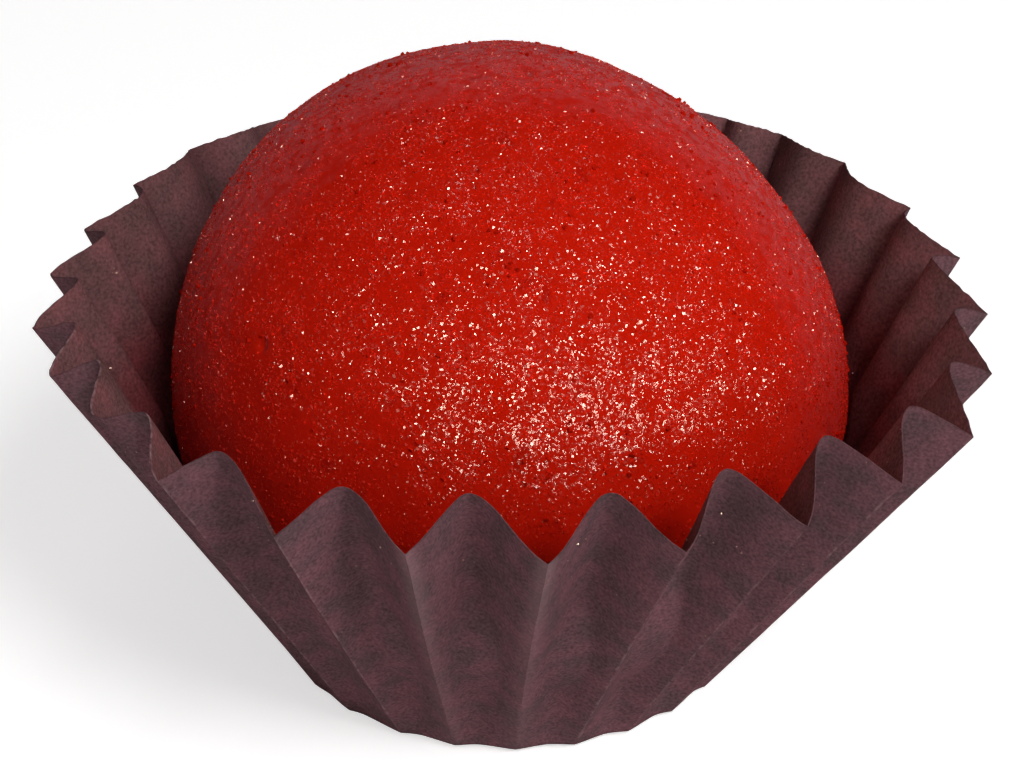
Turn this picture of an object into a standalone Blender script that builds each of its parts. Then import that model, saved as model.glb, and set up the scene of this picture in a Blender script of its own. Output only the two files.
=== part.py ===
"""A brigadeiro: one round sweet with a red sugar-dusted coat, standing in its own pleated paper case.

Metres, +Z up. The origin is on the ground under the middle of the case, and the case's front is toward -Y.
"""

import math

import bmesh
import bpy
from mathutils import Vector

# The sweet. It is round above its widest level and has settled a little below it.
BALL_RADIUS = 0.0151
BALL_MIDDLE = Vector((-0.0001, -0.0004, 0.0130))
BALL_GAP = 0.0003
BALL_SETTLED = 0.86
BALL_SEGMENTS = 44
BALL_RINGS = 26

# Soft dents and bulges of the sweet: direction from its middle, height in metres, and spread in degrees.
BALL_LOBES = [
    (Vector((0.70, 0.41, 0.58)), -0.0009, 24.0),
    (Vector((0.41, 0.52, 0.75)), -0.0004, 14.0),
    (Vector((-0.62, 0.45, 0.64)), 0.0004, 30.0),
    (Vector((-0.05, 0.57, 0.82)), 0.0001, 14.0),
    (Vector((0.45, -0.80, 0.40)), 0.0002, 35.0),
]

# The paper case. Its slant runs along the paper from the edge of its flat floor to the rim.
PLEATS = 28
PAPER = 0.00012
FLOOR_RADIUS = 0.01065
SLANT = 0.0208
FLOOR_EDGE = 0.0007
FOLD_FULLNESS = 0.72
FOLD_FULLER_FRONT = 0.50
FULLEST_AT = math.radians(-78.0)
FOLD_ROUNDNESS = 0.7
FIRST_RIDGE = math.radians(56.5)
STEPS_IN_PLEAT = 6
CLEAR_OF_BALL = 0.0006
WALL_LEVELS = [0.0006, 0.0018, 0.0040, 0.0075, 0.0118, 0.0163, SLANT]

# How far the ridges lean out from upright, in degrees: the mean all round, then what is added in waves
# that go once, twice and three times round the case. Positive terms add at the front.
LEAN = 29.0
LEAN_ONCE = 3.8
LEAN_TWICE = 1.6
LEAN_TWICE_ASKEW = 1.0
LEAN_THRICE = 1.3

# The pleats are a little wider at the front, and the ridges at the two sides stand a little forward.
FRONT_WIDER = 0.055
SIDES_FORWARD = 2.7

# The ridges that stand out of line: ridge number, turn and extra lean in degrees.
UNEVEN_RIDGES = {
    1: (4.5, 3.0),
    2: (2.5, 0.0),
    3: (-0.5, -0.5),
    7: (0.5, 1.0),
    8: (0.0, -0.5),
    9: (0.0, -0.5),
    10: (0.0, -0.5),
    13: (0.0, 1.0),
    15: (-2.0, -2.0),
    16: (-2.0, 0.0),
    17: (-1.0, 1.0),
    19: (1.5, -1.0),
    20: (0.5, -1.0),
    21: (-3.5, 3.0),
    24: (1.0, -1.0),
    26: (-1.0, 1.5),
}


def clear_scene():
    for item in list(bpy.data.objects):
        bpy.data.objects.remove(item, do_unlink=True)


def make_collection(name):
    collection = bpy.data.collections.new(name)
    bpy.context.scene.collection.children.link(collection)
    return collection


def linear(hex_colour):
    """A colour written as an sRGB hex number, as the linear values that a shader takes."""
    channels = [(hex_colour >> shift & 255) / 255 for shift in (16, 8, 0)]
    return [c / 12.92 if c <= 0.04045 else ((c + 0.055) / 1.055) ** 2.4 for c in channels] + [1.0]


def make_material(name, hex_colour, roughness):
    material = bpy.data.materials.new(name)
    material.use_nodes = True
    shader = material.node_tree.nodes["Principled BSDF"]
    shader.inputs["Base Color"].default_value = linear(hex_colour)
    shader.inputs["Roughness"].default_value = roughness
    shader.inputs["Metallic"].default_value = 0.0
    return material


def add_object(name, shape, material, collection):
    mesh = bpy.data.meshes.new(name)
    bmesh.ops.recalc_face_normals(shape, faces=shape.faces)
    shape.to_mesh(mesh)
    shape.free()
    mesh.materials.append(material)
    item = bpy.data.objects.new(name, mesh)
    collection.objects.link(item)
    return item


def ball_swell(direction):
    """How far the sweet's surface stands off its plain round form in one direction."""
    swell = 0.0
    for towards, height, spread in BALL_LOBES:
        angle = math.degrees(direction.angle(towards))
        swell += height * math.exp(-((angle / spread) ** 2))
    return swell


def build_ball(collection):
    shape = bmesh.new()
    bmesh.ops.create_uvsphere(shape, u_segments=BALL_SEGMENTS, v_segments=BALL_RINGS, radius=1.0)
    for vert in shape.verts:
        direction = vert.co.normalized()
        point = direction * (BALL_RADIUS + ball_swell(direction))
        if point.z < 0:
            point.z *= BALL_SETTLED
        vert.co = BALL_MIDDLE + point
        vert.co.z = max(vert.co.z, PAPER + BALL_GAP)
    material = make_material("red_sugared_coat", 0xB21C0C, 0.45)
    ball = add_object("brigadeiro", shape, material, collection)
    ball.data.shade_smooth()
    return ball


def ridge_angles():
    """The direction of each outward ridge, clockwise from the back right, wider apart at the front."""
    steps = []
    for number in range(PLEATS):
        middle = FIRST_RIDGE - (number + 0.5) * math.tau / PLEATS
        steps.append(1 - FRONT_WIDER * math.sin(middle))
    scale = math.tau / sum(steps)
    angles = []
    for number in range(PLEATS):
        turn = UNEVEN_RIDGES.get(number, (0.0, 0.0))[0]
        angle = FIRST_RIDGE - scale * sum(steps[:number])
        angles.append(angle + math.radians(turn - SIDES_FORWARD * math.cos(angle) ** 3))
    return angles


def ridge_leans(angles):
    """How far each ridge leans out from upright."""
    leans = []
    for number, angle in enumerate(angles):
        lean = LEAN - LEAN_ONCE * math.sin(angle)
        lean -= LEAN_TWICE * math.cos(2 * angle) + LEAN_TWICE_ASKEW * math.sin(2 * angle)
        lean -= LEAN_THRICE * math.sin(3 * angle)
        lean += UNEVEN_RIDGES.get(number, (0.0, 0.0))[1]
        leans.append(math.radians(lean))
    return leans


def fold_depth(angle, slant, lean):
    """How far the inner folds stand in from the ridges, so that the paper keeps its width."""
    flat_half = math.pi * (FLOOR_RADIUS + slant) / PLEATS
    round_half = math.pi * (FLOOR_RADIUS + slant * math.sin(lean)) / PLEATS
    fullness = FOLD_FULLNESS + FOLD_FULLER_FRONT * max(0.0, math.cos(angle - FULLEST_AT)) ** 2
    return fullness * math.sqrt(flat_half**2 - round_half**2)


def fold_wave(phase):
    """0 on a ridge, 1 on an inner fold: part straight-sided, part rounded."""
    straight = 1 - abs(1 - 2 * phase)
    rounded = 0.5 - 0.5 * math.cos(math.tau * phase)
    return straight + FOLD_ROUNDNESS * (rounded - straight)


def wall_point(angle, lean, slant, phase):
    """A point of the pleated wall, at its distance along the paper from the floor's edge."""
    depth = fold_depth(angle, slant, lean) * fold_wave(phase)
    along = math.sqrt(slant**2 - depth**2)
    radius = FLOOR_RADIUS + along * math.sin(lean) - depth * math.cos(lean)
    height = along * math.cos(lean) + depth * math.sin(lean)
    return Vector((radius * math.cos(angle), radius * math.sin(angle), height))


def pushed_out(point):
    """The same point of the paper, moved out to where the sweet leaves room for it."""
    away = point - BALL_MIDDLE
    squash = BALL_SETTLED if away.z < 0 else 1.0
    away.z /= squash
    least = BALL_RADIUS + ball_swell(away) + CLEAR_OF_BALL
    if away.length < least:
        away *= least / away.length
    away.z *= squash
    return BALL_MIDDLE + away


def build_case(collection):
    angles = ridge_angles()
    leans = ridge_leans(angles)
    columns = []
    for number in range(PLEATS):
        following = (number + 1) % PLEATS
        end = angles[following] - (math.tau if following == 0 else 0.0)
        for step in range(STEPS_IN_PLEAT):
            phase = step / STEPS_IN_PLEAT
            angle = angles[number] + phase * (end - angles[number])
            lean = leans[number] + phase * (leans[following] - leans[number])
            columns.append((angle, lean, phase))

    shape = bmesh.new()
    centre = shape.verts.new((0, 0, 0))
    flat = FLOOR_RADIUS - FLOOR_EDGE
    rows = [[shape.verts.new((flat * math.cos(angle), flat * math.sin(angle), 0)) for angle, _, _ in columns]]
    for slant in WALL_LEVELS:
        ring = [pushed_out(wall_point(angle, lean, slant, phase)) for angle, lean, phase in columns]
        rows.append([shape.verts.new(point) for point in ring])
    for lower, upper in zip(rows, rows[1:]):
        for index in range(len(columns)):
            after = (index + 1) % len(columns)
            shape.faces.new((lower[index], upper[index], upper[after], lower[after]))
    for index in range(len(columns)):
        shape.faces.new((centre, rows[0][index], rows[0][(index + 1) % len(columns)]))
    material = make_material("mauve_brown_paper", 0x52393B, 0.75)
    case = add_object("paper_case", shape, material, collection)

    thickness = case.modifiers.new("paper_thickness", "SOLIDIFY")
    thickness.thickness = PAPER
    thickness.offset = -1.0
    case.data.shade_smooth()
    case.data.set_sharp_from_angle(angle=math.radians(25))
    return case


def main():
    clear_scene()
    collection = make_collection("brigadeiro_in_paper_case")
    build_ball(collection)
    build_case(collection)


main()
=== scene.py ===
import math

import bmesh
import bpy
from mathutils import Matrix, Vector, noise


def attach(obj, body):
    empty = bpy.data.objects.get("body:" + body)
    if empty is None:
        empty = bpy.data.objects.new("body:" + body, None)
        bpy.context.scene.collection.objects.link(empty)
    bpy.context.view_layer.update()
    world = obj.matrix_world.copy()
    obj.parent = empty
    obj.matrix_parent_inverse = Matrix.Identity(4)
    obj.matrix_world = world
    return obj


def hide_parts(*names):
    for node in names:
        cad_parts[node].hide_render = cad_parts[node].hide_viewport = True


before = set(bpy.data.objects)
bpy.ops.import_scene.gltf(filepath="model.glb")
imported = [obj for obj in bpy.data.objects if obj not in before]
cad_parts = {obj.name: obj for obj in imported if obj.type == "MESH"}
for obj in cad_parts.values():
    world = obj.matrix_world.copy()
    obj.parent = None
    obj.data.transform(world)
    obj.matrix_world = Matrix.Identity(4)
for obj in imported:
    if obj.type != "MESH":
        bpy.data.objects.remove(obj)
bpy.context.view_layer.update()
print("frame loaded:", ", ".join(sorted(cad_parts)))


def fromHex(colour):
    # an sRGB hex colour as the linear values that a node takes
    channels = [(colour >> shift & 255) / 255 for shift in (16, 8, 0)]
    return [c / 12.92 if c <= 0.04045 else ((c + 0.055) / 1.055) ** 2.4 for c in channels] + [1.0]


def perMetre(millimetres):
    # the scale of a pattern that repeats at a real size
    return 1000.0 / millimetres


def addNode(tree, kind, feeds=(), **settings):
    # feeds are values, sockets or nodes, listed in the order of the inputs or keyed by name or number
    node = tree.nodes.new(kind)
    for setting, value in settings.items():
        setattr(node, setting, value)
    pairs = feeds.items() if isinstance(feeds, dict) else enumerate(feeds)
    for socket, value in pairs:
        if isinstance(value, bpy.types.Node):
            value = next(output for output in value.outputs if output.enabled)
        if isinstance(value, bpy.types.NodeSocket):
            tree.links.new(value, node.inputs[socket])
        else:
            node.inputs[socket].default_value = value
    return node


def startTree(name, sizes):
    # a Geometry Nodes tree with one named input for each size
    tree = bpy.data.node_groups.new(name, "GeometryNodeTree")
    tree.interface.new_socket("Geometry", in_out="INPUT", socket_type="NodeSocketGeometry")
    tree.interface.new_socket("Geometry", in_out="OUTPUT", socket_type="NodeSocketGeometry")
    kinds = {int: "Int", float: "Float", Vector: "Vector", bpy.types.Object: "Object",
             bpy.types.Material: "Material"}
    for label, value in sizes.items():
        tree.interface.new_socket(label, in_out="INPUT", socket_type="NodeSocket" + kinds[type(value)])
    return tree


def growPiece(name, mesh, tree, sizes):
    # runs the tree on the mesh and keeps the result as a plain mesh
    piece = bpy.data.objects.new(name, mesh)
    bpy.context.scene.collection.objects.link(piece)
    modifier = piece.modifiers.new(tree.name, "NODES")
    modifier.node_group = tree
    for item in tree.interface.items_tree:
        if item.in_out == "INPUT" and item.name in sizes:
            modifier[item.identifier] = sizes[item.name]
    bpy.context.view_layer.update()
    grown = piece.evaluated_get(bpy.context.evaluated_depsgraph_get())
    plain = bpy.data.meshes.new_from_object(grown)
    piece.modifiers.remove(modifier)
    piece.data = plain
    plain.name = name
    return piece


def triangleCount(piece):
    return sum(len(face.vertices) - 2 for face in piece.data.polygons)


def startMaterial(name):
    material = bpy.data.materials.new(name)
    material.use_nodes = True
    return material, material.node_tree, material.node_tree.nodes["Principled BSDF"]


# The camera stands low in front of the sweet and looks down on it.
cameraPlan = {
    "distance": 0.11477,   # from the middle of the case's floor
    "elevation": 34.78,
    "lookUp": 5.5,         # turned up from that middle
    "roll": 0.69,
    "lens": 83.69,
}


def placeCamera():
    rise = math.radians(cameraPlan["elevation"])
    tilt = math.radians(90 - cameraPlan["elevation"] + cameraPlan["lookUp"])
    view = bpy.data.cameras.new("camera")
    view.lens = cameraPlan["lens"]
    view.sensor_width = 36
    view.clip_start = 0.005
    camera = bpy.data.objects.new("camera", view)
    bpy.context.scene.collection.objects.link(camera)
    stepBack = cameraPlan["distance"] * math.cos(rise)
    stand = Matrix.Translation((0, -stepBack, cameraPlan["distance"] * math.sin(rise)))
    roll = Matrix.Rotation(math.radians(cameraPlan["roll"]), 4, "Z")
    camera.matrix_world = stand @ Matrix.Rotation(tilt, 4, "X") @ roll
    bpy.context.scene.camera = camera


placeCamera()
print("camera placed")

# Soft lights round a pale floor. Each is given by where it stands seen from the sweet, in degrees: round to
# the right from the camera, and up from the floor. Its glint is the light that only gloss catches. A light
# is white where no colour is given, and as tall as it is across where no height is.
lightPlan = {
    "window": {"round": 32.0, "up": 46.0, "distance": 0.45, "across": 0.15, "watts": 0.97},
    "side": {"round": 70.0, "up": 30.0, "distance": 0.45, "across": 0.30, "watts": 0.21},
    "front": {"round": 6.0, "up": 52.0, "distance": 0.45, "across": 0.20, "watts": 0.10},
    "bounce": {"round": 35.0, "up": 3.0, "distance": 0.40, "across": 0.30, "watts": 0.18},
    "fill": {"round": -40.0, "up": 35.0, "distance": 0.45, "across": 0.30, "watts": 0.17,
             "colour": 0xFFF0F0},
    "behind": {"round": 180.0, "up": 50.0, "distance": 0.45, "across": 0.30, "watts": 0.09,
               "colour": 0xFFF0F4},
    "lowLamp": {"round": 21.0, "up": 7.0, "distance": 0.42, "across": 0.80, "tall": 0.30, "watts": 0.08,
                "glint": 125.0, "colour": 0xFFE6CE},
    "overhead": {"round": 5.0, "up": 92.0, "distance": 0.40, "across": 0.14, "watts": 0.05, "glint": 3.2,
                 "colour": 0xFFF4F0},
}
stagePlan = {
    "floorHalf": 1.5,      # metres from its middle to its edges
    "below": 0.00003,      # the floor lies just under the case
    "surround": 0.03,      # how much light the backdrop sheds
    "wallBehind": 0.15,    # how pale the wall behind looks in the gloss
    "backdrop": 0.93,      # how pale the camera sees it
    "floorGlow": 0.62,
}


def placeLights():
    heart = Vector((0, 0, 0.012))   # the middle of the whole
    for name, plan in lightPlan.items():
        about = math.radians(plan["round"])
        up = math.radians(plan["up"])
        towards = Vector((math.sin(about) * math.cos(up), -math.cos(about) * math.cos(up), math.sin(up)))
        for kind in ("watts", "glint"):
            if kind not in plan:
                continue
            glow = bpy.data.lights.new(name + kind, "AREA")
            glow.shape = "ELLIPSE"
            glow.size = plan["across"]
            glow.size_y = plan.get("tall", plan["across"])
            glow.energy = plan[kind]
            glow.color = fromHex(plan.get("colour", 0xFFFFFF))[:3]
            lamp = bpy.data.objects.new(name + kind, glow)
            bpy.context.scene.collection.objects.link(lamp)
            lamp.location = heart + towards * plan["distance"]
            lamp.rotation_euler = towards.to_track_quat("Z", "Y").to_euler()
            lamp.visible_glossy = kind == "glint"
            lamp.visible_diffuse = kind == "watts"


def paleBackdrop():
    # dim for the light that it sheds, pale where the camera sees it, and a wall behind for the gloss
    world = bpy.data.worlds.new("paleBackdrop")
    world.use_nodes = True
    tree = world.node_tree
    tree.nodes.clear()
    ray = addNode(tree, "ShaderNodeLightPath").outputs
    toward = addNode(tree, "ShaderNodeTexCoord").outputs["Generated"]
    ahead = addNode(tree, "ShaderNodeSeparateXYZ", [toward]).outputs["Y"]
    wall = addNode(tree, "ShaderNodeMapRange",
                   {"Value": ahead, "From Min": 0.05, "From Max": 0.55, "To Max": stagePlan["wallBehind"]})
    seen = addNode(tree, "ShaderNodeMath", [wall, ray["Is Glossy Ray"], stagePlan["surround"]],
                   operation="MULTIPLY_ADD")
    level = addNode(tree, "ShaderNodeMix", {0: ray["Is Camera Ray"], 2: seen, 3: stagePlan["backdrop"]},
                    data_type="FLOAT")
    glow = addNode(tree, "ShaderNodeBackground", {"Strength": level})
    addNode(tree, "ShaderNodeOutputWorld", {"Surface": glow})
    bpy.context.scene.world = world


def paleFloor():
    # a matt white board; a little glow for the camera alone keeps it pale under the low light
    material = bpy.data.materials.new("mattWhiteBoard")
    material.use_nodes = True
    tree = material.node_tree
    tree.nodes.clear()
    board = addNode(tree, "ShaderNodeBsdfDiffuse", {"Color": fromHex(0xF0F0F0)})
    ray = addNode(tree, "ShaderNodeLightPath")
    level = addNode(tree, "ShaderNodeMath", [ray.outputs["Is Camera Ray"], stagePlan["floorGlow"]],
                    operation="MULTIPLY")
    glow = addNode(tree, "ShaderNodeEmission", {"Strength": level})
    both = addNode(tree, "ShaderNodeAddShader", [board, glow])
    addNode(tree, "ShaderNodeOutputMaterial", {"Surface": both})

    half = stagePlan["floorHalf"]
    low = -stagePlan["below"]
    mesh = bpy.data.meshes.new("floor")
    corners = [(-half, -half, low), (half, -half, low), (half, half, low), (-half, half, low)]
    mesh.from_pydata(corners, [], [(0, 1, 2, 3)])
    mesh.materials.append(material)
    floor = bpy.data.objects.new("floor", mesh)
    bpy.context.scene.collection.objects.link(floor)


placeLights()
paleBackdrop()
paleFloor()
bpy.context.scene.view_settings.view_transform = "Standard"
print("stage lit")

# The sweet, rolled by hand: round above, settled below its widest level, with soft dents and bulges and one
# small pit. Each lobe is its direction from the middle, its height and its spread in degrees, and each
# relief is the size of its lumps and their height.
sweet = {
    "radius": 0.0151,
    "middle": Vector((-0.0001, -0.0004, 0.0130)),
    "settled": 0.86,       # how much of its depth is left below the widest level
    "restHeight": 0.00042,
    "cellsAcross": 120,
    "lobes": [
        (Vector((0.70, 0.41, 0.58)), -0.0009, 24.0),
        (Vector((0.41, 0.52, 0.75)), -0.0004, 14.0),
        (Vector((-0.62, 0.45, 0.64)), 0.0004, 30.0),
        (Vector((-0.05, 0.57, 0.82)), 0.0001, 14.0),
        (Vector((0.45, -0.80, 0.40)), 0.0002, 35.0),
        (Vector((-0.666, -0.604, 0.438)), -0.00022, 1.0),
    ],
    "relief": [(0.0050, 0.00007), (0.0014, 0.000022), (0.00055, 0.000014)],
    "red": (0xC41806, 0xD01C08),
    "damp": 0x960E08,
    # painted sheen: the pink mixed into the coat where it is seen edge on
    "paintedSheen": 0xC46A6E,
    "facet": 0.09,         # millimetres across
}


def redSugaredCoat():
    # coloured sweet paste under a crust of fine sugar: deep saturated red, smooth and softly waxy, with
    # tiny facets that flash where the light strikes them, and a faint pink painted sheen towards the edges
    material, tree, shader = startMaterial("redSugaredCoat")
    place = addNode(tree, "ShaderNodeTexCoord").outputs["Object"]

    cloud = addNode(tree, "ShaderNodeTexNoise", {"Vector": place, "Scale": perMetre(3.5), "Detail": 3.0})
    deep, bright = (fromHex(colour) for colour in sweet["red"])
    clear = addNode(tree, "ShaderNodeMix", {0: cloud, 6: deep, 7: bright}, data_type="RGBA")
    damp = addNode(tree, "ShaderNodeTexNoise", {"Vector": place, "Scale": perMetre(1.1), "Detail": 4.0})
    smudge = addNode(tree, "ShaderNodeMapRange",
                     {"Value": damp, "From Min": 0.62, "From Max": 0.70, "To Max": 0.45})
    red = addNode(tree, "ShaderNodeMix", {0: smudge, 6: clear.outputs[2], 7: fromHex(sweet["damp"])},
                  data_type="RGBA")
    # painted sheen of the dry sugar standing on the coat: a pink mixed into the base colour where it is seen
    # edge on, stronger high up where the light falls from above, and broken by small red pits
    edgeOn = addNode(tree, "ShaderNodeLayerWeight", {"Blend": 0.5}).outputs["Facing"]
    edge = addNode(tree, "ShaderNodeMapRange",
                   {"Value": edgeOn, "From Min": 0.40, "From Max": 0.90, "To Max": 0.75})
    height = addNode(tree, "ShaderNodeSeparateXYZ", [place]).outputs["Z"]
    high = addNode(tree, "ShaderNodeMapRange",
                   {"Value": height, "From Min": 0.013, "From Max": 0.0275, "To Max": 1.45})
    paintedSheen = addNode(tree, "ShaderNodeMath", [edge, high], operation="MULTIPLY")
    pits = addNode(tree, "ShaderNodeTexNoise", {"Vector": place, "Scale": perMetre(0.45), "Detail": 3.0})
    dry = addNode(tree, "ShaderNodeMapRange",
                  {"Value": pits, "From Min": 0.40, "From Max": 0.55, "To Min": 0.25})
    dustAndSheen = addNode(tree, "ShaderNodeMath", [paintedSheen, dry], operation="MULTIPLY")
    coat = addNode(tree, "ShaderNodeMix", {0: dustAndSheen, 6: red.outputs[2], 7: fromHex(sweet["paintedSheen"])},
                   data_type="RGBA")
    tree.links.new(coat.outputs[2], shader.inputs["Base Color"])

    # one flat facet of sugar in each cell: most lie nearly flat and a few lean a lot, so that they flash
    facet = addNode(tree, "ShaderNodeTexVoronoi", {"Vector": place, "Scale": perMetre(sweet["facet"])})
    lean = addNode(tree, "ShaderNodeVectorMath", [facet.outputs["Color"], (0.5, 0.5, 0.5)],
                   operation="SUBTRACT")
    luck = addNode(tree, "ShaderNodeTexWhiteNoise", {"Vector": facet.outputs["Position"]})
    seldom = addNode(tree, "ShaderNodeMath", [luck.outputs["Value"], 2.0], operation="POWER")
    steep = addNode(tree, "ShaderNodeMath", [seldom, 1.35, 0.16], operation="MULTIPLY_ADD")
    spread = addNode(tree, "ShaderNodeVectorMath", {0: lean, "Scale": steep}, operation="SCALE")
    lumps = addNode(tree, "ShaderNodeTexNoise", {"Vector": place, "Scale": perMetre(1.6), "Detail": 1.0})
    roll = addNode(tree, "ShaderNodeVectorMath", [lumps.outputs["Color"], (0.5, 0.5, 0.5)],
                   operation="SUBTRACT")
    rolled = addNode(tree, "ShaderNodeVectorMath", [roll, (0.5, 0.5, 0.5), spread],
                     operation="MULTIPLY_ADD")
    upright = addNode(tree, "ShaderNodeNewGeometry").outputs["Normal"]
    tilted = addNode(tree, "ShaderNodeVectorMath", [upright, rolled], operation="ADD")
    flash = addNode(tree, "ShaderNodeVectorMath", [tilted], operation="NORMALIZE")
    tree.links.new(flash.outputs[0], shader.inputs["Coat Normal"])
    patches = addNode(tree, "ShaderNodeTexNoise", {"Vector": place, "Scale": perMetre(1.8), "Detail": 3.0})
    dusted = addNode(tree, "ShaderNodeMapRange", {"Value": patches, "From Min": 0.42, "From Max": 0.56})
    some = addNode(tree, "ShaderNodeMapRange",
                   {"Value": luck.outputs["Color"], "From Min": 0.55, "From Max": 0.62, "To Max": 0.15})
    here = addNode(tree, "ShaderNodeMath", [dusted, some], operation="MULTIPLY")
    tree.links.new(here.outputs[0], shader.inputs["Coat Weight"])
    shader.inputs["Coat Roughness"].default_value = 0.16
    shader.inputs["Coat IOR"].default_value = 1.56

    fine = addNode(tree, "ShaderNodeTexNoise", {"Vector": place, "Scale": perMetre(0.18), "Detail": 2.0})
    soft = addNode(tree, "ShaderNodeVectorMath", [rolled, (0.2, 0.2, 0.2), upright],
                   operation="MULTIPLY_ADD")
    under = addNode(tree, "ShaderNodeVectorMath", [soft], operation="NORMALIZE")
    bump = addNode(tree, "ShaderNodeBump",
                   {"Height": fine, "Strength": 0.5, "Distance": 0.00002, "Normal": under})
    tree.links.new(bump.outputs[0], shader.inputs["Normal"])
    shader.inputs["Roughness"].default_value = 0.55
    shader.inputs["IOR"].default_value = 1.47
    shader.inputs["Specular IOR Level"].default_value = 0.0
    shader.inputs["Sheen Weight"].default_value = 0.05
    shader.inputs["Sheen Tint"].default_value = fromHex(0xFFC8D0)
    shader.inputs["Sheen Roughness"].default_value = 0.4
    return material


def swell(direction):
    # how far the sweet's surface stands off its plain round form
    total = 0.0
    for towards, height, spread in sweet["lobes"]:
        total += height * math.exp(-((math.degrees(direction.angle(towards)) / spread) ** 2))
    return total


def makeSweet(material):
    shape = bmesh.new()
    bmesh.ops.create_cube(shape, size=2.0)
    bmesh.ops.subdivide_edges(shape, edges=shape.edges, cuts=sweet["cellsAcross"] - 1, use_grid_fill=True)
    for vert in shape.verts:
        # the tangents spread the cube's cells evenly over the ball
        direction = Vector([math.tan(c * math.pi / 4) for c in vert.co]).normalized()
        away = sweet["radius"] + swell(direction)
        for lump, height in sweet["relief"]:
            away += height * noise.noise(direction * (sweet["radius"] / lump))
        point = direction * away
        if point.z < 0:
            point.z *= sweet["settled"]
        vert.co = sweet["middle"] + point
        vert.co.z = max(vert.co.z, sweet["restHeight"])
    mesh = bpy.data.meshes.new("sweet")
    shape.to_mesh(mesh)
    shape.free()
    mesh.materials.append(material)
    piece = bpy.data.objects.new("sweet", mesh)
    bpy.context.scene.collection.objects.link(piece)
    mesh.shade_smooth()
    return piece


coatMaterial = redSugaredCoat()
sweetPiece = makeSweet(coatMaterial)
print("sweet made:", len(sweetPiece.data.polygons), "faces")

# Grains of sugar held in the coat: larger clear crystals, two finer sorts, and grit that has taken up the
# colour. The sizes are of real fine sugar.
clearSugar = {
    "Per square mm": 22.0,
    "Corners": 4,
    "Smallest": 0.00009,
    "Largest": 0.00017,
    "Flatness": 0.6,
    "Foot": 0.0,                   # how wide the sunk end is
    "Turned up": 0.44,             # low on the sweet the grains look up a little more than the coat does
    "Turned up below": 0.0170,
    "Turned up most at": 0.0112,
    "Settled": 0.32,               # how much every grain leans
    "Tilt": 0.75,                  # how much more the steepest lean
    "Sunk": 0.70,                  # share of the grain that the coat holds
    "Patch size": 1.5,             # millimetres
    "Bare": 0.40,
    "Lowest": 0.0075,              # no grain lies where the paper hides the sweet
    "Seed": 3,
}
fineSugar = dict(clearSugar)
fineSugar.update({"Per square mm": 31.0, "Corners": 3, "Smallest": 0.00008, "Largest": 0.00013,
                  "Patch size": 0.9, "Bare": 0.38, "Seed": 7})
finestSugar = dict(fineSugar)
finestSugar.update({"Smallest": 0.00006, "Largest": 0.00010, "Patch size": 2.6, "Bare": 0.42, "Seed": 13})
redGrit = dict(clearSugar)
redGrit.update({"Per square mm": 0.9, "Corners": 5, "Smallest": 0.00008, "Largest": 0.00024,
                "Flatness": 0.9, "Foot": 0.45, "Turned up": 0.0, "Settled": 0.4, "Tilt": 1.6, "Sunk": 0.30,
                "Patch size": 3.0, "Bare": 0.42, "Seed": 11})
grainFinishes = {
    # sucrose crystals over red paste: the red shows through them, and their flat faces flash
    "clearSugarCrystal": {"colours": (0xC01806, 0xD42410), "patch": 0.3, "roughness": 0.16, "ior": 1.56,
                          "gloss": 0.5},
    # grains that have taken up the colour: duller and deeper red
    "redSugarGrit": {"colours": (0xAC1406, 0xC01A08), "patch": 0.4, "roughness": 0.6, "ior": 1.5,
                     "gloss": 0.0},
    # sucrose grains with a little colour on them, dull and pinkish ochre
    "straySugarGrain": {"colours": (0x8C3A34, 0xB08C70), "patch": 0.6, "roughness": 0.3, "ior": 1.5,
                        "gloss": 0.5},
}


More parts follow.
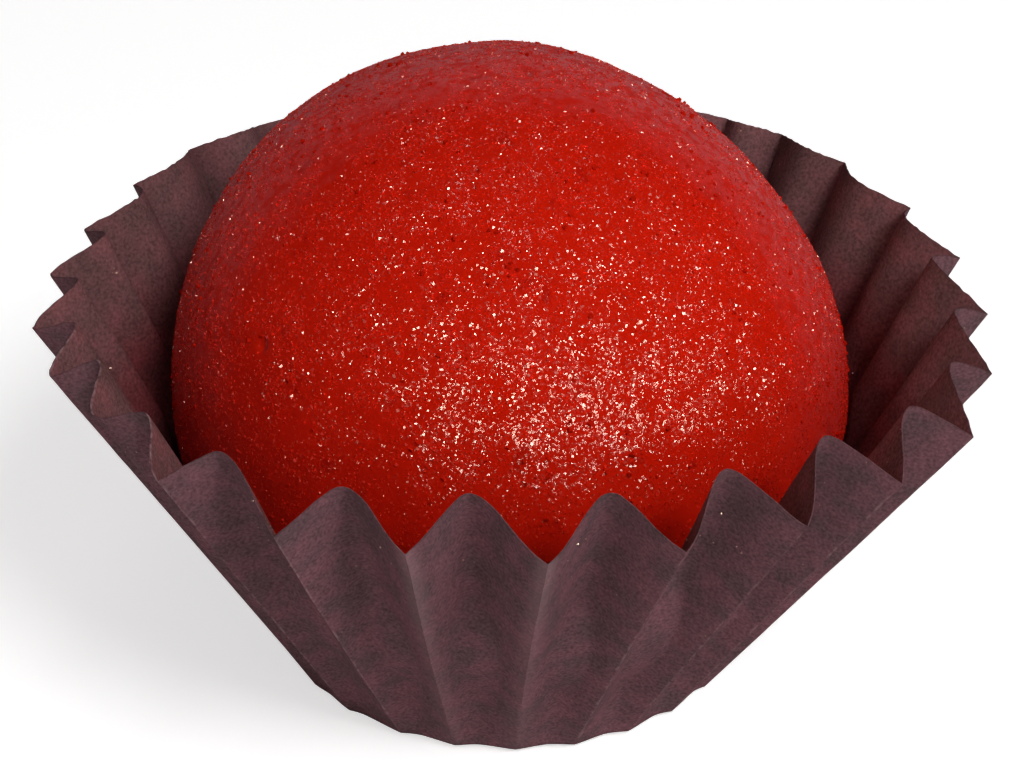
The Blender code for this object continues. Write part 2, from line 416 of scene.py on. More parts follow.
def sugarTree(name, sizes):
    tree = startTree(name, sizes)
    entry = addNode(tree, "NodeGroupInput").outputs
    place = addNode(tree, "GeometryNodeInputPosition")
    height = addNode(tree, "ShaderNodeSeparateXYZ", [place]).outputs["Z"]
    seen = addNode(tree, "ShaderNodeMath", [height, entry["Lowest"]], operation="GREATER_THAN")
    finer = addNode(tree, "ShaderNodeMath", [1000.0, entry["Patch size"]], operation="DIVIDE")
    patches = addNode(tree, "ShaderNodeTexNoise", {"Vector": place, "Scale": finer, "Detail": 2.0})
    crowd = addNode(tree, "ShaderNodeMapRange",
                    {"Value": patches, "From Min": entry["Bare"], "From Max": 0.65, "To Min": 0.05,
                     "To Max": 1.6})
    dense = addNode(tree, "ShaderNodeMath", [entry["Per square mm"], 1e6], operation="MULTIPLY")
    here = addNode(tree, "ShaderNodeMath", [dense, crowd], operation="MULTIPLY")
    density = addNode(tree, "ShaderNodeMath", [here, seen], operation="MULTIPLY")
    spots = addNode(tree, "GeometryNodeDistributePointsOnFaces",
                    {"Mesh": entry["Geometry"], "Density": density, "Seed": entry["Seed"]})

    # each grain settles square to the coat, or looks up a little low on the sweet
    low = addNode(tree, "ShaderNodeMapRange",
                  {"Value": height, "From Min": entry["Turned up below"],
                   "From Max": entry["Turned up most at"], "To Max": entry["Turned up"]})
    upward = addNode(tree, "ShaderNodeCombineXYZ", [0.0, 0.0, low])
    look = addNode(tree, "ShaderNodeVectorMath", [spots.outputs["Normal"], upward], operation="ADD")
    settled = addNode(tree, "FunctionNodeAlignRotationToVector",
                      {"Rotation": spots.outputs["Rotation"], "Vector": look}, axis="Z")
    # a grain leans a little, and now and then a lot
    either = addNode(tree, "FunctionNodeRandomValue", {0: (-1, -1, 0), 1: (1, 1, 0), "Seed": 1},
                     data_type="FLOAT_VECTOR")
    seldom = addNode(tree, "FunctionNodeRandomValue", {2: 0.0, 3: 1.0, "Seed": 2}, data_type="FLOAT")
    spin = addNode(tree, "FunctionNodeRandomValue", {0: (0, 0, 0), 1: (0, 0, math.tau), "Seed": 3},
                   data_type="FLOAT_VECTOR")
    rarely = addNode(tree, "ShaderNodeMath", [seldom.outputs[1], 1.6], operation="POWER")
    much = addNode(tree, "ShaderNodeMath", [rarely, entry["Tilt"], entry["Settled"]],
                   operation="MULTIPLY_ADD")
    lean = addNode(tree, "ShaderNodeVectorMath", {0: either.outputs[0], "Scale": much}, operation="SCALE")
    turned = settled
    for angles in (lean, spin):
        turn = addNode(tree, "FunctionNodeEulerToRotation", [angles])
        turned = addNode(tree, "FunctionNodeRotateRotation", [turned, turn], rotation_space="LOCAL")

    squareness = addNode(tree, "FunctionNodeRandomValue", {0: (0.6, 0.6, 0.6), 1: (1, 1, 1), "Seed": 4},
                         data_type="FLOAT_VECTOR")
    flat = addNode(tree, "ShaderNodeCombineXYZ", [1.0, 1.0, entry["Flatness"]])
    form = addNode(tree, "ShaderNodeVectorMath", [squareness.outputs[0], flat], operation="MULTIPLY")
    pick = addNode(tree, "FunctionNodeRandomValue", {2: 0.0, 3: 1.0, "Seed": 5}, data_type="FLOAT")
    small = addNode(tree, "ShaderNodeMath", [pick.outputs[1], 2.0], operation="POWER")
    size = addNode(tree, "ShaderNodeMix", {0: small, 2: entry["Smallest"], 3: entry["Largest"]},
                   data_type="FLOAT")
    scaled = addNode(tree, "ShaderNodeVectorMath", {0: form, "Scale": size}, operation="SCALE")

    # its flat face is outwards, and its foot is held in the coat
    grain = addNode(tree, "GeometryNodeMeshCone",
                    {"Vertices": entry["Corners"], "Radius Top": 0.6, "Radius Bottom": entry["Foot"],
                     "Depth": 1.0})
    crisp = addNode(tree, "GeometryNodeSetShadeSmooth", {"Geometry": grain, "Shade Smooth": False})
    grains = addNode(tree, "GeometryNodeInstanceOnPoints",
                     {"Points": spots, "Instance": crisp, "Rotation": turned, "Scale": scaled})
    depth = addNode(tree, "ShaderNodeMath", [entry["Sunk"], -1.0], operation="MULTIPLY")
    sink = addNode(tree, "ShaderNodeCombineXYZ", [0.0, 0.0, depth])
    sunk = addNode(tree, "GeometryNodeTranslateInstances", {"Instances": grains, "Translation": sink})
    real = addNode(tree, "GeometryNodeRealizeInstances", [sunk])
    finish = addNode(tree, "GeometryNodeSetMaterial", {"Geometry": real, "Material": entry["Finish"]})
    addNode(tree, "NodeGroupOutput", [finish])
    return tree


def grainFinish(name):
    finish = grainFinishes[name]
    dark, light = (fromHex(colour) for colour in finish["colours"])
    material, tree, shader = startMaterial(name)
    place = addNode(tree, "ShaderNodeTexCoord").outputs["Object"]
    tone = addNode(tree, "ShaderNodeTexNoise",
                   {"Vector": place, "Scale": perMetre(finish["patch"]), "Detail": 1.0})
    tint = addNode(tree, "ShaderNodeMix", {0: tone, 6: dark, 7: light}, data_type="RGBA")
    tree.links.new(tint.outputs[2], shader.inputs["Base Color"])
    shader.inputs["Roughness"].default_value = finish["roughness"]
    shader.inputs["IOR"].default_value = finish["ior"]
    shader.inputs["Specular IOR Level"].default_value = finish["gloss"]
    return material


clearSugar["Finish"] = grainFinish("clearSugarCrystal")
fineSugar["Finish"] = clearSugar["Finish"]
finestSugar["Finish"] = clearSugar["Finish"]
redGrit["Finish"] = grainFinish("redSugarGrit")
sugarPieces = []
for name, grains in (("clearSugar", clearSugar), ("fineSugar", fineSugar), ("finestSugar", finestSugar),
                     ("redGrit", redGrit)):
    grown = growPiece(name, sweetPiece.data, sugarTree(name, grains), grains)
    sugarPieces.append(grown)
    print(name, "grown:", triangleCount(grown), "triangles")

# The paper case. Its slant runs along the paper from the edge of its flat floor to the rim. The sizes are
# the inputs of its tree, and the ridges are numbered clockwise from the back right.
paperCase = {
    "sizes": {
        "Pleats": 28,
        "Steps in pleat": 24,
        "Rows": 62,
        "Floor share": 0.07,
        "Floor radius": 0.01065,
        "Slant": 0.0208,
        "Fold fullness": 0.72,
        "Fuller at front": 0.50,
        "Fullest at": math.radians(-78.0),
        "Foot turned": math.radians(-3.0),       # how far the feet of the ridges stand round from their tips
        "Turned most at": math.radians(-125.0),
        "Roundness below": 0.45,
        "Roundness at rim": 0.85,
        "Arched at back": 0.85,
        "Arched at front": 0.25,
        "Arch steepness": 2.2,
        "Flatter rim at back": 0.70,
        "Flatter from": 0.78,                    # share of the slant
        "Clear of sweet": 0.00045,
        "Sweet's middle": sweet["middle"],
        "Wrinkle": 0.00014,
        "Ragged rim": 0.00030,
        "Ragged from": 0.93,
        "Teeth per radian": 56.0,
        "Sweet": sweetPiece,
    },
    "firstRidge": 56.5,        # degrees
    "frontWider": 0.055,       # share by which the front pleats are wider
    "sidesForward": 2.7,       # degrees by which the side ridges stand round to the front
    "lean": 29.0,              # out from upright, then what is added once, twice and three times round
    "leanOnce": 3.8,
    "leanTwice": 1.6,
    "leanTwiceAskew": 1.0,
    "leanThrice": 1.3,
    "uneven": {                # ridges that stand out of line: turn and extra lean
        0: (0.8, 0.0), 1: (5.7, 3.0), 2: (4.0, 0.0), 3: (0.8, -0.5), 7: (0.5, 1.0), 8: (0.0, -0.5),
        9: (0.0, -0.5), 10: (0.0, -0.5), 13: (0.0, 1.0), 14: (-2.0, 0.0), 15: (-3.3, -1.7), 16: (-2.0, 0.0),
        17: (-1.0, 1.0), 19: (1.5, -1.0), 20: (0.5, -1.0), 21: (-3.5, 3.0), 24: (1.0, -1.0), 26: (-1.0, 1.5),
    },
    "folds": {                 # folds out of line, by the ridge before them: how far along, how deep
        0: (0.56, 1.0), 1: (0.58, 1.0), 2: (0.56, 1.0), 3: (0.50, 0.80), 4: (0.36, 1.0), 5: (0.34, 0.85),
        6: (0.32, 0.84), 7: (0.28, 1.0), 8: (0.33, 1.12), 9: (0.41, 1.03), 10: (0.46, 0.92),
        11: (0.60, 0.95), 12: (0.64, 0.92), 13: (0.70, 0.92), 14: (0.56, 0.74), 15: (0.68, 0.92),
        16: (0.58, 1.0),
    },
    "straight": [14, 15, 16, 17, 18],   # folds that run straight to their ridges, and aren't arched
    "frayed": [14, 15, 16],    # folds with a fluffed cut edge on their first side
    "paintedBandRidges": [11, 12],         # ridges with a painted highlight, a broad soft pale band, and no thin worn line
    "paper": 0.00005,
    "dye": (0x6A5155, 0x7F585F),
    # the pale of worn ridge lines and the fluffed cut rim, and of the painted highlight bands
    "paleMark": 0xA8888A,
    # inner side: painted bounced red light at the rim, and painted shade, darker and redder, deeper in
    "insidePaintedBounce": (1.03, 0.92, 0.84, 1.0),     # what the dye is multiplied by
    "insidePaintedShade": (0.87, 0.39, 0.38, 1.0),
}


def ridgePlan():
    # one point for each ridge, with its direction and lean, and the first again to close the ring
    count = paperCase["sizes"]["Pleats"]
    first = math.radians(paperCase["firstRidge"])
    middles = [first - (number + 0.5) * math.tau / count for number in range(count)]
    steps = [1 - paperCase["frontWider"] * math.sin(middle) for middle in middles]
    angles, leans = [], []
    for number in range(count):
        turn, extra = paperCase["uneven"].get(number, (0.0, 0.0))
        angle = first - math.tau * sum(steps[:number]) / sum(steps)
        angle += math.radians(turn - paperCase["sidesForward"] * math.cos(angle) ** 3)
        lean = paperCase["lean"] - paperCase["leanOnce"] * math.sin(angle) + extra
        lean -= paperCase["leanTwice"] * math.cos(2 * angle)
        lean -= paperCase["leanTwiceAskew"] * math.sin(2 * angle)
        lean -= paperCase["leanThrice"] * math.sin(3 * angle)
        angles.append(angle)
        leans.append(math.radians(lean))
    angles.append(angles[0] - math.tau)
    leans.append(leans[0])
    mesh = bpy.data.meshes.new("ridgePlan")
    mesh.from_pydata([(math.cos(angle), math.sin(angle), 0) for angle in angles], [], [])
    folds = [paperCase["folds"].get(number % count, (0.5, 1.0)) for number in range(count + 1)]
    places = [place for place, depth in folds]
    depths = [depth for place, depth in folds]
    plan = {"ridgeAngle": angles, "ridgeLean": leans, "foldPlace": places, "foldDepth": depths}
    for label, group in (("straightFold", "straight"), ("frayedFold", "frayed"), ("broadWear", "paintedBandRidges")):
        plan[label] = [float(number % count in paperCase[group]) for number in range(count + 1)]
    for label, values in plan.items():
        mesh.attributes.new(label, "FLOAT", "POINT").data.foreach_set("value", values)
    return mesh


def ridgeValue(tree, plan, label, number):
    # what the plan keeps on one of its ridges
    value = addNode(tree, "GeometryNodeInputNamedAttribute", [label], data_type="FLOAT")
    return addNode(tree, "GeometryNodeSampleIndex", {"Geometry": plan, "Value": value, "Index": number},
                   data_type="FLOAT", clamp=True)


def paperCaseTree():
    tree = startTree("pleatedCase", paperCase["sizes"])
    entry = addNode(tree, "NodeGroupInput").outputs
    around = addNode(tree, "ShaderNodeMath", [entry["Pleats"], entry["Steps in pleat"]],
                     operation="MULTIPLY")
    columns = addNode(tree, "ShaderNodeMath", [around, 1.0], operation="ADD")
    sheet = addNode(tree, "GeometryNodeMeshGrid",
                    {"Size X": 1.0, "Size Y": 1.0, "Vertices X": columns, "Vertices Y": entry["Rows"]})
    place = addNode(tree, "GeometryNodeInputPosition")
    spot = addNode(tree, "ShaderNodeSeparateXYZ", [place]).outputs
    across = addNode(tree, "ShaderNodeMath", [spot["X"], 0.5], operation="ADD")
    upward = addNode(tree, "ShaderNodeMath", [spot["Y"], 0.5], operation="ADD")
    turns = addNode(tree, "ShaderNodeMath", [across, entry["Pleats"]], operation="MULTIPLY")
    ridge = addNode(tree, "ShaderNodeMath", [turns], operation="FLOOR")
    following = addNode(tree, "ShaderNodeMath", [ridge, 1.0], operation="ADD")
    phase = addNode(tree, "ShaderNodeMath", [turns], operation="FRACT")

    # the direction and lean of this column, between those of its two ridges
    plan = entry["Geometry"]
    between = {}
    for label in ("ridgeAngle", "ridgeLean"):
        one = ridgeValue(tree, plan, label, ridge)
        two = ridgeValue(tree, plan, label, following)
        between[label] = addNode(tree, "ShaderNodeMix", {0: phase, 2: one, 3: two}, data_type="FLOAT")
    own = {label: ridgeValue(tree, plan, label, ridge)
           for label in ("foldPlace", "foldDepth", "straightFold", "frayedFold")}
    sine = addNode(tree, "ShaderNodeMath", [between["ridgeLean"]], operation="SINE")
    cosine = addNode(tree, "ShaderNodeMath", [between["ridgeLean"]], operation="COSINE")
    # rows on the flat floor run out from its middle, and the others run up the wall
    minusFloor = addNode(tree, "ShaderNodeMath", [entry["Floor radius"], -1.0], operation="MULTIPLY")
    inward = addNode(tree, "ShaderNodeMapRange",
                     {"Value": upward, "From Max": entry["Floor share"], "To Min": minusFloor, "To Max": 0.0})
    slant = addNode(tree, "ShaderNodeMapRange",
                    {"Value": upward, "From Min": entry["Floor share"], "To Max": entry["Slant"]})
    share = addNode(tree, "ShaderNodeMath", [slant, entry["Slant"]], operation="DIVIDE")
    # the feet of the ridges stand round from their tips, most of all in one direction
    offMost = addNode(tree, "ShaderNodeMath", [between["ridgeAngle"], entry["Turned most at"]],
                      operation="SUBTRACT")
    facingMost = addNode(tree, "ShaderNodeMath", [offMost], operation="COSINE")
    nearMost = addNode(tree, "ShaderNodeMath", [facingMost, 0.0], operation="MAXIMUM")
    most = addNode(tree, "ShaderNodeMath", [nearMost, 2.0], operation="POWER")
    low = addNode(tree, "ShaderNodeMath", [1.0, share], operation="SUBTRACT")
    footTurn = addNode(tree, "ShaderNodeMath", [entry["Foot turned"], low], operation="MULTIPLY")
    turn = addNode(tree, "ShaderNodeMath", [footTurn, most], operation="MULTIPLY")
    angle = addNode(tree, "ShaderNodeMath", [between["ridgeAngle"], turn], operation="ADD")
    east = addNode(tree, "ShaderNodeMath", [angle], operation="COSINE")
    north = addNode(tree, "ShaderNodeMath", [angle], operation="SINE")
    circle = addNode(tree, "ShaderNodeCombineXYZ", [east, north, 0.0])
    # the cut rim is a little ragged
    top = addNode(tree, "ShaderNodeMapRange", {"Value": share, "From Min": entry["Ragged from"]})
    tooth = addNode(tree, "ShaderNodeTexNoise",
                    {"Vector": circle, "Scale": entry["Teeth per radian"], "Detail": 4.0, "Roughness": 0.8})
    ragged = addNode(tree, "ShaderNodeMath", [tooth, 0.5], operation="SUBTRACT")
    bite = addNode(tree, "ShaderNodeMath", [ragged, entry["Ragged rim"]], operation="MULTIPLY")
    bitten = addNode(tree, "ShaderNodeMath", [bite, top], operation="MULTIPLY")
    reach = addNode(tree, "ShaderNodeMath", [slant, bitten], operation="ADD")

    # the inner folds stand in from the ridges as far as the width of the paper asks
    halfTurn = addNode(tree, "ShaderNodeMath", [math.pi, entry["Pleats"]], operation="DIVIDE")
    flat = addNode(tree, "ShaderNodeMath", [entry["Floor radius"], reach], operation="ADD")
    out = addNode(tree, "ShaderNodeMath", [reach, sine, entry["Floor radius"]], operation="MULTIPLY_ADD")
    flatHalf = addNode(tree, "ShaderNodeMath", [flat, halfTurn], operation="MULTIPLY")
    roundHalf = addNode(tree, "ShaderNodeMath", [out, halfTurn], operation="MULTIPLY")
    flatSquare = addNode(tree, "ShaderNodeMath", [flatHalf, flatHalf], operation="MULTIPLY")
    roundSquare = addNode(tree, "ShaderNodeMath", [roundHalf, roundHalf], operation="MULTIPLY")
    spare = addNode(tree, "ShaderNodeMath", [flatSquare, roundSquare], operation="SUBTRACT")
    roomSquare = addNode(tree, "ShaderNodeMath", [spare, 0.0], operation="MAXIMUM")
    room = addNode(tree, "ShaderNodeMath", [roomSquare], operation="SQRT")
    off = addNode(tree, "ShaderNodeMath", [angle, entry["Fullest at"]], operation="SUBTRACT")
    facing = addNode(tree, "ShaderNodeMath", [off], operation="COSINE")
    frontal = addNode(tree, "ShaderNodeMath", [facing, 0.0], operation="MAXIMUM")
    squared = addNode(tree, "ShaderNodeMath", [frontal, frontal], operation="MULTIPLY")
    fullness = addNode(tree, "ShaderNodeMath", [squared, entry["Fuller at front"], entry["Fold fullness"]],
                       operation="MULTIPLY_ADD")
    even = addNode(tree, "ShaderNodeMath", [room, fullness], operation="MULTIPLY")
    # at the back, from 9 to 37 degrees behind the sides, the pleats open flatter towards the rim
    flatter = addNode(tree, "ShaderNodeMapRange",
                      {"Value": share, "From Min": entry["Flatter from"], "To Min": 1.0,
                       "To Max": entry["Flatter rim at back"]})
    behind = addNode(tree, "ShaderNodeMapRange", {"Value": north, "From Min": 0.15, "From Max": 0.60})
    opening = addNode(tree, "ShaderNodeMix", {0: behind, 2: 1.0, 3: flatter}, data_type="FLOAT")
    eased = addNode(tree, "ShaderNodeMath", [even, opening], operation="MULTIPLY")
    deepest = addNode(tree, "ShaderNodeMath", [eased, own["foldDepth"]], operation="MULTIPLY")

    # the fold runs from 0 on a ridge to 1 on an inner fold, straight-sided low down and rounder at the rim
    before = addNode(tree, "ShaderNodeMapRange",
                     {"Value": phase, "From Max": own["foldPlace"], "To Min": 1.0, "To Max": 0.0})
    after = addNode(tree, "ShaderNodeMapRange", {"Value": phase, "From Min": own["foldPlace"]})
    toRidge = addNode(tree, "ShaderNodeMath", [before, after], operation="ADD")
    straight = addNode(tree, "ShaderNodeMath", [1.0, toRidge], operation="SUBTRACT")
    swing = addNode(tree, "ShaderNodeMath", [toRidge, math.pi], operation="MULTIPLY")
    wave = addNode(tree, "ShaderNodeMath", [swing], operation="COSINE")
    rounded = addNode(tree, "ShaderNodeMath", [wave, 0.5, 0.5], operation="MULTIPLY_ADD")
    roundness = addNode(tree, "ShaderNodeMix",
                        {0: share, 2: entry["Roundness below"], 3: entry["Roundness at rim"]},
                        data_type="FLOAT")
    evenFold = addNode(tree, "ShaderNodeMix", {0: roundness, 2: straight, 3: rounded}, data_type="FLOAT")
    steeper = addNode(tree, "ShaderNodeMath", [toRidge, entry["Arch steepness"]], operation="POWER")
    arch = addNode(tree, "ShaderNodeMath", [1.0, steeper], operation="SUBTRACT")
    archShare = addNode(tree, "ShaderNodeMix",
                        {0: squared, 2: entry["Arched at back"], 3: entry["Arched at front"]},
                        data_type="FLOAT")
    arched = addNode(tree, "ShaderNodeMix", {0: own["straightFold"], 2: archShare, 3: 0.0},
                     data_type="FLOAT")
    fold = addNode(tree, "ShaderNodeMix", {0: arched, 2: evenFold, 3: arch}, data_type="FLOAT")
    depth = addNode(tree, "ShaderNodeMath", [deepest, fold], operation="MULTIPLY")

    reachSquare = addNode(tree, "ShaderNodeMath", [reach, reach], operation="MULTIPLY")
    depthSquare = addNode(tree, "ShaderNodeMath", [depth, depth], operation="MULTIPLY")
    left = addNode(tree, "ShaderNodeMath", [reachSquare, depthSquare], operation="SUBTRACT")
    alongSquare = addNode(tree, "ShaderNodeMath", [left, 0.0], operation="MAXIMUM")
    along = addNode(tree, "ShaderNodeMath", [alongSquare], operation="SQRT")
    base = addNode(tree, "ShaderNodeMath", [entry["Floor radius"], inward], operation="ADD")
    outward = addNode(tree, "ShaderNodeMath", [along, sine, base], operation="MULTIPLY_ADD")
    back = addNode(tree, "ShaderNodeMath", [depth, cosine], operation="MULTIPLY")
    radius = addNode(tree, "ShaderNodeMath", [outward, back], operation="SUBTRACT")
    rise = addNode(tree, "ShaderNodeMath", [along, cosine], operation="MULTIPLY")
    height = addNode(tree, "ShaderNodeMath", [depth, sine, rise], operation="MULTIPLY_ADD")
    ring = addNode(tree, "ShaderNodeVectorMath", {0: circle, "Scale": radius}, operation="SCALE")
    lift = addNode(tree, "ShaderNodeCombineXYZ", [0.0, 0.0, height])
    smooth = addNode(tree, "ShaderNodeVectorMath", [ring, lift], operation="ADD")

    # soft wrinkles, more towards the rim
    creases = addNode(tree, "ShaderNodeTexNoise", {"Vector": smooth, "Scale": perMetre(4.0), "Detail": 2.5})
    shift = addNode(tree, "ShaderNodeVectorMath", [creases.outputs["Color"], (0.5, 0.5, 0.5)],
                    operation="SUBTRACT")
    slack = addNode(tree, "ShaderNodeMath", [share, entry["Wrinkle"]], operation="MULTIPLY")
    shifted = addNode(tree, "ShaderNodeVectorMath", {0: shift, "Scale": slack}, operation="SCALE")
    wrinkled = addNode(tree, "ShaderNodeVectorMath", [smooth, shifted], operation="ADD")

    # the paper gives way to the sweet
    sweetShape = addNode(tree, "GeometryNodeObjectInfo", {"Object": entry["Sweet"]})
    away = addNode(tree, "ShaderNodeVectorMath", [wrinkled, entry["Sweet's middle"]], operation="SUBTRACT")
    distance = addNode(tree, "ShaderNodeVectorMath", [away], operation="LENGTH")
    hit = addNode(tree, "GeometryNodeRaycast",
                  {"Target Geometry": sweetShape.outputs["Geometry"],
                   "Source Position": entry["Sweet's middle"], "Ray Direction": away, "Ray Length": 0.1})
    least = addNode(tree, "ShaderNodeMath", [hit.outputs["Hit Distance"], entry["Clear of sweet"]],
                    operation="ADD")
    farther = addNode(tree, "ShaderNodeMath", [least, distance.outputs["Value"]], operation="MAXIMUM")
    unit = addNode(tree, "ShaderNodeVectorMath", [away], operation="NORMALIZE")
    pushed = addNode(tree, "ShaderNodeVectorMath", {0: unit, "Scale": farther}, operation="SCALE")
    clear = addNode(tree, "ShaderNodeVectorMath", [pushed, entry["Sweet's middle"]], operation="ADD")
    # and no point of it goes below its floor
    settled = addNode(tree, "ShaderNodeVectorMath", [clear, (-1.0, -1.0, 0.0)], operation="MAXIMUM")

    # what the paper's finish follows, kept before the sheet is folded: millimetres from the nearest ridge
    # and from the rim, which ridges carry a broad painted highlight, and where the cut edge is fluffed
    halfPleat = addNode(tree, "ShaderNodeMath", [flatHalf, straight], operation="MULTIPLY")
    ridgeMm = addNode(tree, "ShaderNodeMath", [halfPleat, 1000.0], operation="MULTIPLY")
    toRim = addNode(tree, "ShaderNodeMath", [entry["Slant"], slant], operation="SUBTRACT")
    rimMm = addNode(tree, "ShaderNodeMath", [toRim, 1000.0], operation="MULTIPLY")
    nearest = addNode(tree, "ShaderNodeMath", [turns], operation="ROUND")
    paintedBandRidges = ridgeValue(tree, plan, "broadWear", nearest)
    firstSide = addNode(tree, "ShaderNodeMath", [before, 0.0], operation="GREATER_THAN")
    fluffed = addNode(tree, "ShaderNodeMath", [own["frayedFold"], firstSide], operation="MULTIPLY")
    kept = {"fromRidge": ridgeMm, "fromRim": rimMm, "broadWear": paintedBandRidges, "fluffed": fluffed}
    for label, value in kept.items():
        sheet = addNode(tree, "GeometryNodeStoreNamedAttribute",
                        {"Geometry": sheet, "Name": label, "Value": value},
                        data_type="FLOAT", domain="POINT")
    folded = addNode(tree, "GeometryNodeSetPosition", {"Geometry": sheet, "Position": settled})
    closed = addNode(tree, "GeometryNodeMergeByDistance", {"Geometry": folded, "Distance": 0.000002})
    turned = addNode(tree, "GeometryNodeFlipFaces", [closed])
    soft = addNode(tree, "GeometryNodeSetShadeSmooth", [turned])
    real = addNode(tree, "GeometryNodeRealizeInstances", [soft])
    finish = addNode(tree, "GeometryNodeSetMaterial", {"Geometry": real, "Material": entry["Finish"]})
    addNode(tree, "NodeGroupOutput", [finish])
    return tree


def greaseproofPaper():
    # thin dyed greaseproof paper, pressed into pleats: dull, mottled mauve brown with a fine speckle, and
    # pale where its ridges and its cut rim are worn, with painted highlights on two ridges and painted light
    # and shade on its inner side
    material, tree, shader = startMaterial("greaseproofPaper")
    place = addNode(tree, "ShaderNodeTexCoord").outputs["Object"]
    fromRidge, fromRim, innerSide, broadWear, fluffed = (
        addNode(tree, "ShaderNodeAttribute", attribute_name=name).outputs["Fac"]
        for name in ("fromRidge", "fromRim", "innerSide", "broadWear", "fluffed"))

    cloud = addNode(tree, "ShaderNodeTexNoise", {"Vector": place, "Scale": perMetre(1.5), "Detail": 5.0})
    tone = addNode(tree, "ShaderNodeMapRange", {"Value": cloud, "From Min": 0.36, "From Max": 0.64})
    dark, light = (fromHex(colour) for colour in paperCase["dye"])
    dye = addNode(tree, "ShaderNodeMix", {0: tone, 6: dark, 7: light}, data_type="RGBA")
    # the fibres' speckle is drawn 0.14 mm across, coarser than real fibres, so that it shows
    fibre = addNode(tree, "ShaderNodeTexNoise", {"Vector": place, "Scale": perMetre(0.14), "Detail": 2.0})
    speck = addNode(tree, "ShaderNodeMapRange",
                    {"Value": fibre, "From Min": 0.3, "From Max": 0.7, "To Min": 0.70, "To Max": 1.30})
    grained = addNode(tree, "ShaderNodeVectorMath", {0: dye.outputs[2], "Scale": speck}, operation="SCALE")
    # inside, painted light and shade: warm bounced red light near the rim, darker and redder deeper in
    deepShade = addNode(tree, "ShaderNodeMapRange", {"Value": fromRim, "From Min": 2.5, "From Max": 6.5},
                     interpolation_type="SMOOTHSTEP")
    inside = addNode(tree, "ShaderNodeMix",
                     {0: deepShade, 6: paperCase["insidePaintedBounce"], 7: paperCase["insidePaintedShade"]},
                     data_type="RGBA")
    warmer = addNode(tree, "ShaderNodeMix", {0: innerSide, 6: (1.0, 1.0, 1.0, 1.0), 7: inside.outputs[2]},
                     data_type="RGBA")
    dyed = addNode(tree, "ShaderNodeVectorMath", [grained, warmer.outputs[2]], operation="MULTIPLY")
    edge = addNode(tree, "ShaderNodeMapRange",
                   {"Value": fromRim, "From Max": 0.04, "To Min": 0.70, "To Max": 1.0})
    sheetTone = addNode(tree, "ShaderNodeVectorMath", {0: dyed, "Scale": edge}, operation="SCALE")

    # outside, the worn line along each ridge is hardly 0.1 mm wide, wanders a little and is broken up
    sway = addNode(tree, "ShaderNodeTexNoise", {"Vector": place, "Scale": perMetre(1.2), "Detail": 1.0})
    wander = addNode(tree, "ShaderNodeMath", [sway, 0.20, -0.10], operation="MULTIPLY_ADD")
    strayed = addNode(tree, "ShaderNodeMath", [fromRidge, wander], operation="ADD")
    paleMark = addNode(tree, "ShaderNodeMapRange",
                   {"Value": strayed, "From Min": 0.02, "From Max": 0.08, "To Min": 1.0, "To Max": 0.0})
    rubbed = addNode(tree, "ShaderNodeTexNoise", {"Vector": place, "Scale": perMetre(0.35), "Detail": 4.0})
    here = addNode(tree, "ShaderNodeMapRange",
                   {"Value": rubbed, "From Min": 0.40, "From Max": 0.62, "To Max": 0.50})
    line = addNode(tree, "ShaderNodeMath", [paleMark, here], operation="MULTIPLY")
    # on the broad ridges a painted highlight: a soft pale band up to 0.8 mm either side, stronger towards the
    # rim
    band = addNode(tree, "ShaderNodeMapRange",
                   {"Value": strayed, "From Min": 0.05, "From Max": 0.80, "To Min": 1.0, "To Max": 0.0},
                   interpolation_type="SMOOTHSTEP")
    fading = addNode(tree, "ShaderNodeMapRange",
                     {"Value": fromRim, "From Max": 11.0, "To Min": 0.36, "To Max": 0.12})
    faded = addNode(tree, "ShaderNodeMath", [band, fading], operation="MULTIPLY")
    ridgeWearAndHighlight = addNode(tree, "ShaderNodeMix", {0: broadWear, 2: line, 3: faded}, data_type="FLOAT")
    outer = addNode(tree, "ShaderNodeMath", [1.0, innerSide], operation="SUBTRACT")
    outerWearAndHighlight = addNode(tree, "ShaderNodeMath", [ridgeWearAndHighlight, outer], operation="MULTIPLY")
    cut = addNode(tree, "ShaderNodeMapRange",
                  {"Value": fromRim, "From Min": 0.04, "From Max": 0.12, "To Min": 1.3, "To Max": 0.0})
    frayed = addNode(tree, "ShaderNodeMath", [cut, fluffed], operation="MULTIPLY")
    dotted = addNode(tree, "ShaderNodeMath", [frayed, here], operation="MULTIPLY")
    pale = addNode(tree, "ShaderNodeMath", [outerWearAndHighlight, dotted], operation="MAXIMUM")
    colour = addNode(tree, "ShaderNodeMix", {0: pale, 6: sheetTone, 7: fromHex(paperCase["paleMark"])},
                     data_type="RGBA")
    tree.links.new(colour.outputs[2], shader.inputs["Base Color"])

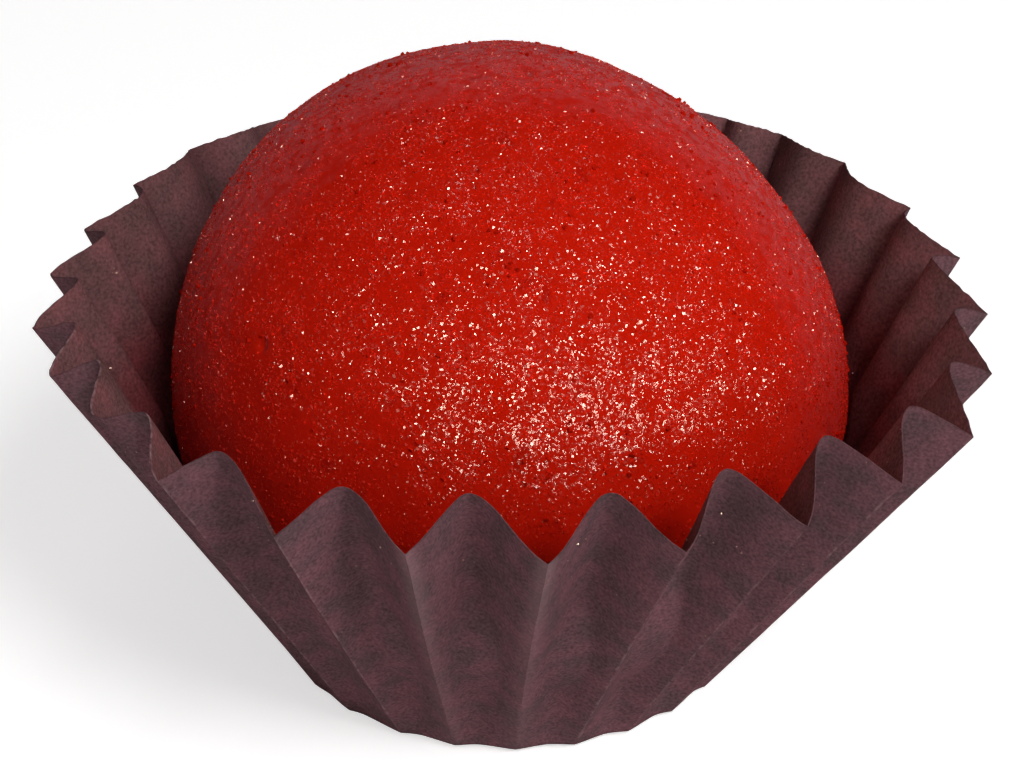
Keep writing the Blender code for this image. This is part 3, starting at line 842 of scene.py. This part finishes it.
    press = addNode(tree, "ShaderNodeTexNoise", {"Vector": place, "Scale": perMetre(1.2), "Detail": 3.0})
    both = addNode(tree, "ShaderNodeMath", [press, 3.0, fibre], operation="MULTIPLY_ADD")
    bump = addNode(tree, "ShaderNodeBump", {"Height": both, "Strength": 0.6, "Distance": 0.00002})
    tree.links.new(bump.outputs[0], shader.inputs["Normal"])
    shader.inputs["Roughness"].default_value = 0.75
    shader.inputs["IOR"].default_value = 1.45
    shader.inputs["Specular IOR Level"].default_value = 0.0
    return material


def thicken(piece, thickness):
    # gives the sheet its thickness inwards, with a crisp cut rim, and marks its inner side
    shell = piece.modifiers.new("thickness", "SOLIDIFY")
    shell.thickness = thickness
    shell.offset = -1.0
    bpy.context.view_layer.update()
    solid = bpy.data.meshes.new_from_object(piece.evaluated_get(bpy.context.evaluated_depsgraph_get()))
    piece.modifiers.remove(shell)
    sheetSize = len(piece.data.vertices)
    inner = [float(number >= sheetSize) for number in range(len(solid.vertices))]
    solid.attributes.new("innerSide", "FLOAT", "POINT").data.foreach_set("value", inner)
    solid.set_sharp_from_angle(angle=math.radians(60))
    solid.name = piece.name
    piece.data = solid


paperCase["sizes"]["Finish"] = greaseproofPaper()
casePiece = growPiece("paperCase", ridgePlan(), paperCaseTree(), paperCase["sizes"])
thicken(casePiece, paperCase["paper"])
print("case folded:", len(casePiece.data.polygons), "faces")

# A few grains that have come off the sweet and cling to the paper.
straySugar = dict(clearSugar)
straySugar.update({"Per square mm": 0.40, "Smallest": 0.00005, "Largest": 0.00013, "Sunk": 0.2, "Tilt": 2.0,
                   "Patch size": 4.0, "Bare": 0.55, "Lowest": 0.008, "Seed": 5,
                   "Finish": grainFinish("straySugarGrain")})
strayPiece = growPiece("straySugar", casePiece.data, sugarTree("straySugar", straySugar), straySugar)
print("straySugar grown:", triangleCount(strayPiece), "triangles")

for piece, node, slot in ((sweetPiece, "brigadeiro", "red_sugared_coat"),
                          (casePiece, "paper_case", "mauve_brown_paper")):
    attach(piece, "root")
    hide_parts(node)
for piece in sugarPieces + [strayPiece]:
    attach(piece, "root")
